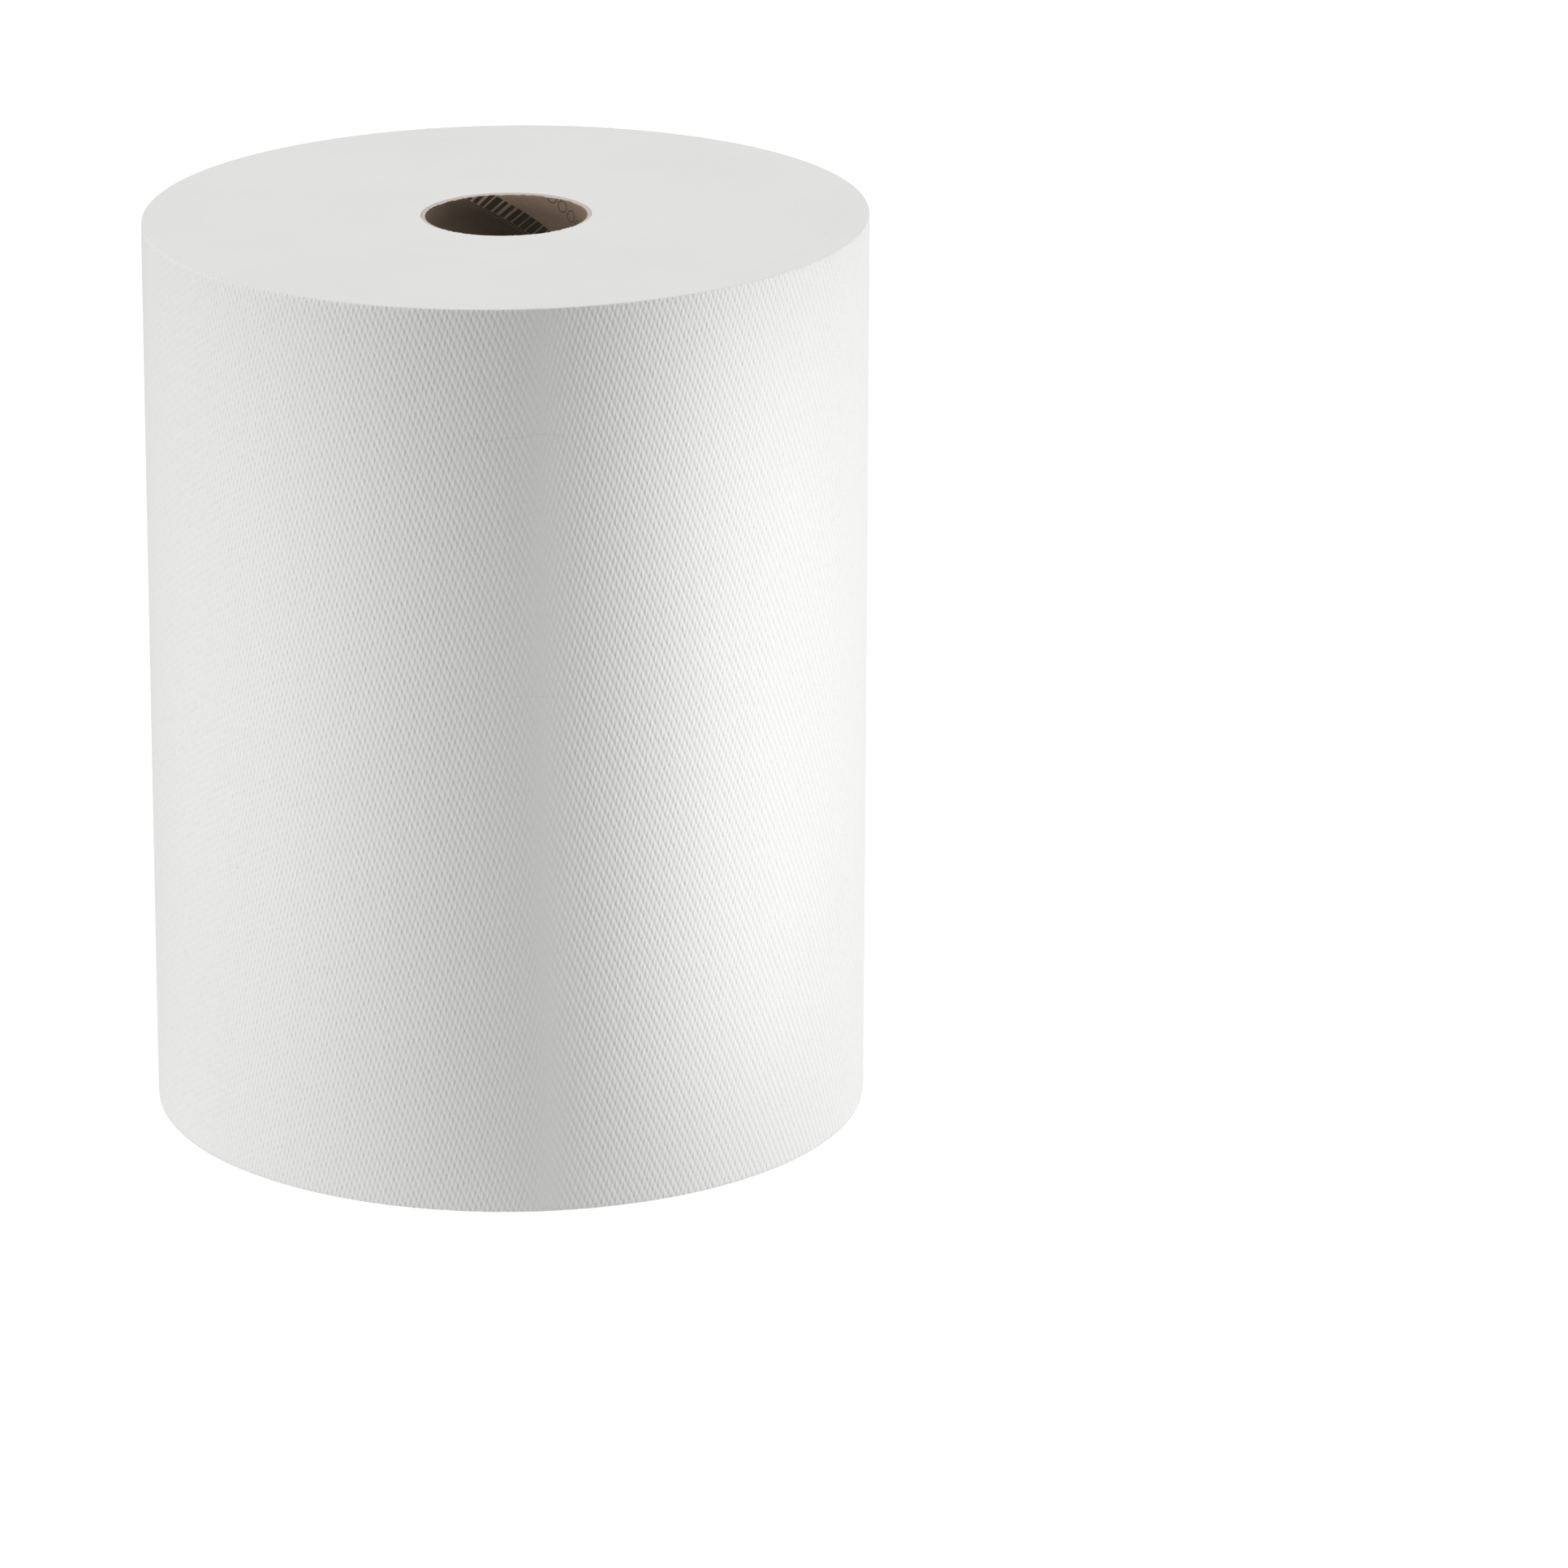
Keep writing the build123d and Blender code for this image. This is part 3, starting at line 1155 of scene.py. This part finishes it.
def printed_board():
    """Board colour, inked where bars or rings lie and less where the fibres' tone is low, then flecked."""
    material, tree, surface = new_material("core_board", roughness=0.9, specular=0.2)
    place = own_map(tree)
    fibre = use(tree, grain, Place=place, Scale=1400.0)
    parts = add(tree, "SeparateXYZ", (place,)).outputs
    ragged = about_zero(tree, noise(tree, place, scale=2500.0, detail=3.0), INK_RAGGED)
    along = maths(tree, "ADD", parts[0], ragged)
    across = maths(tree, "ADD", maths(tree, "SUBTRACT", STRIP_WIDTH, parts[1]), ragged)
    inked = maths(tree, "MAXIMUM", bars(tree, along, across), thin_rings(tree, along, across))
    taken = ramp(tree, fibre["Tone"], 0.2, 0.45, to_low=0.55, to_high=0.95)
    plain = board_colour(tree, place, fibre["Tone"])
    printed = mixed(tree, maths(tree, "MULTIPLY", inked, taken), plain, BOARD_INK)
    fleck = use(tree, flecks, Place=place, Scale=420.0, Rarity=0.9)
    flecked = mixed(tree, maths(tree, "MULTIPLY", fleck["Mask"], 0.6), printed, BOARD_FLECK)
    tree.links.new(flecked, surface["Base Color"])
    tree.links.new(bump(tree, fibre["Height"], 0.03 * MM, strength=0.8), surface["Normal"])
    return material


core_board = printed_board()
core.data.materials.append(core_board)
print("core board in", len(core_board.node_tree.nodes), "nodes")

# %% [markdown]
# The sawn rims of the core show the plies of board on edge. They are paler than the faces, because the saw
# opens clean fibre. A thin tube for each ply would do it too, but the shared rings show them in tone and
# in bump.

# %% Core edge
SAWN_BROWN = (0.66, 0.58, 0.5)
PLY_PITCH, PLY_CLUSTER = 0.2 * MM, 0.4 * MM


def sawn_board():
    """Pale brown times the rings' tone of 30 percent and the fibres' of 15, with the rings as bump."""
    material, tree, surface = new_material("core_edge", roughness=0.95, specular=0.2)
    place = on_object(tree)
    plies = use(tree, rings, Place=place, Pitch=PLY_PITCH, Cluster=PLY_CLUSTER)
    fibre = use(tree, grain, Place=place, Scale=2400.0)
    layered = tinted(tree, SAWN_BROWN, plies["Tone"], 0.3)
    tree.links.new(tinted(tree, layered, fibre["Tone"], 0.15), surface["Base Color"])
    tree.links.new(bump(tree, plies["Tone"], 0.05 * MM, strength=0.8), surface["Normal"])
    return material


core_edge = sawn_board()
core.data.materials.append(core_edge)
print("core edge in", len(core_edge.node_tree.nodes), "nodes")

# %% [markdown]
# ## Floor and backdrop
# The roll stands on a plain white sweep in a white room. Brighter lamps would make a floor white too, but
# they would burn out the paper. So to the camera the floor is nearly self-lit, and it comes out white
# whatever the lamps do. Near the roll a share of its real shading is mixed in, which carries the roll's
# soft shadow. Other rays meet a floor and a room that glow evenly, a little more close to the roll, as a
# lit sweep would throw light back. Even light of this kind has no grain in a render, which the fine
# imprint needs. It is found by rays that chance on it, so neither the floor nor the world is put on the
# list of lamps.


# %% What the camera sees
def seen_plainly(tree):
    """1 for the camera's rays and for those that come by a mirror or through glass, 0 for all others."""
    rays = add(tree, "LightPath").outputs
    bent = maths(tree, "MAXIMUM", rays["Is Glossy Ray"], rays["Is Transmission Ray"])
    return maths(tree, "MAXIMUM", rays["Is Camera Ray"], bent)


print("ray test ready")

# %% Floor
FLOOR_REACH = 6.0
FLOOR_GREY = (0.7, 0.7, 0.7, 1)
FLOOR_GLOW = 1.1
GLOW_SHARE = 0.85
SHADE_NEAR, SHADE_FAR = 0.35, 1.2
BOUNCE, NEAR_BOUNCE = 0.38, 0.6
BOUNCE_NEAR, BOUNCE_FAR = 0.12, 0.3


def sweep_paint():
    """To the camera, glow and shading shared by the distance from the roll; to other rays, a glow."""
    material, tree, surface = new_material("floor_paint", roughness=1.0, specular=0.0)
    surface["Base Color"].default_value = FLOOR_GREY
    away = length_of(tree, on_object(tree))
    glow = add(tree, "Emission", {"Strength": FLOOR_GLOW}).outputs[0]
    share = ramp(tree, away, SHADE_NEAR, SHADE_FAR, to_low=GLOW_SHARE, to_high=1.0)
    shading = tree.nodes["Principled BSDF"].outputs[0]
    shown = add(tree, "MixShader", (share, shading, glow)).outputs[0]
    bounce = ramp(tree, away, BOUNCE_NEAR, BOUNCE_FAR, to_low=NEAR_BOUNCE, to_high=BOUNCE)
    bounced = add(tree, "Emission", {"Strength": bounce}).outputs[0]
    blend = add(tree, "MixShader", (seen_plainly(tree), bounced, shown)).outputs[0]
    tree.links.new(blend, tree.nodes["Material Output"].inputs["Surface"])
    material.cycles.emission_sampling = "NONE"
    return material


floor_corners = np.array([(-1, -1, 0), (1, -1, 0), (1, 1, 0), (-1, 1, 0)]) * FLOOR_REACH
floor = mesh_piece("floor", floor_corners, np.array([[0, 1, 2, 3]]))
floor.data.materials.append(sweep_paint())
print("floor", 2 * FLOOR_REACH, "m square")

# %% Backdrop
BACKDROP_WHITE = (1, 1, 1, 1)
ROOM_LIGHT = 0.36

world = bpy.data.worlds.new("backdrop")
bpy.context.scene.world = world
world.use_nodes = True
backdrop = world.node_tree.nodes["Background"].inputs
backdrop["Color"].default_value = BACKDROP_WHITE
strength = maths(world.node_tree, "MAXIMUM", seen_plainly(world.node_tree), ROOM_LIGHT)
world.node_tree.links.new(strength, backdrop["Strength"])
world.cycles.sampling_method = "NONE"
print("backdrop white, room light", ROOM_LIGHT)

# %% [markdown]
# ## Lamps
# The photograph's light is read off the roll itself. Its front is the darkest part, both sides are bright
# and the top is even. The room's glow gives most of the front's light and less than half of the rest. Two
# lamps, high at the left and right, give the top its even light. Each side has an upright panel farther
# off, and a small one close in front of it, whose light ends where the paper turns away: that makes the
# quick rise from the dark front to the bright sides. A panel behind keeps the back from going flat. They
# could be dragged about by eye, but each lamp was rendered alone instead, and the places and powers are
# those whose sum comes closest to the photograph, in shading and in the imprint's contrast.

# %% Lamps
AIM_HEIGHT = 0.18
LAMPS = {
    # bearing round from the front, distance from the axis, height, width and height of the panel, watts
    "high_left": (-90, 0.31, 1.41, 0.35, 0.35, 5.1),
    "high_right": (90, 0.6, 1.29, 0.35, 0.35, 2.7),
    "left_panel": (-71, 0.65, 0.14, 0.04, 0.24, 1.36),
    "near_left_panel": (-32, 0.2, 0.14, 0.09, 0.24, 0.03),
    "right_panel": (82, 0.52, 0.14, 0.04, 0.24, 1.04),
    "near_right_panel": (38, 0.16, 0.14, 0.07, 0.24, 0.037),
    "back_panel": (170, 1.0, 0.135, 0.15, 0.22, 1.8),
}


def soft_lamp(name, bearing, away, height, width, tall, watts):
    """A panel at a bearing and distance from the roll's axis, facing it, and unseen by the camera."""
    data = bpy.data.lights.new(name, "AREA")
    data.shape = "RECTANGLE"
    data.size, data.size_y, data.energy = width, tall, watts
    lamp = bpy.data.objects.new(name, data)
    turn = math.radians(bearing)
    lamp.location = (math.sin(turn) * away, -math.cos(turn) * away, height)
    back = lamp.location - Vector((0, 0, min(height, AIM_HEIGHT)))
    lamp.rotation_euler = back.to_track_quat("Z", "Y").to_euler()
    lamp.visible_camera = False
    bpy.context.scene.collection.objects.link(lamp)


for name, setting in LAMPS.items():
    soft_lamp(name, *setting)
bpy.context.scene.view_settings.view_transform = "Standard"
print(len(LAMPS), "lamps")
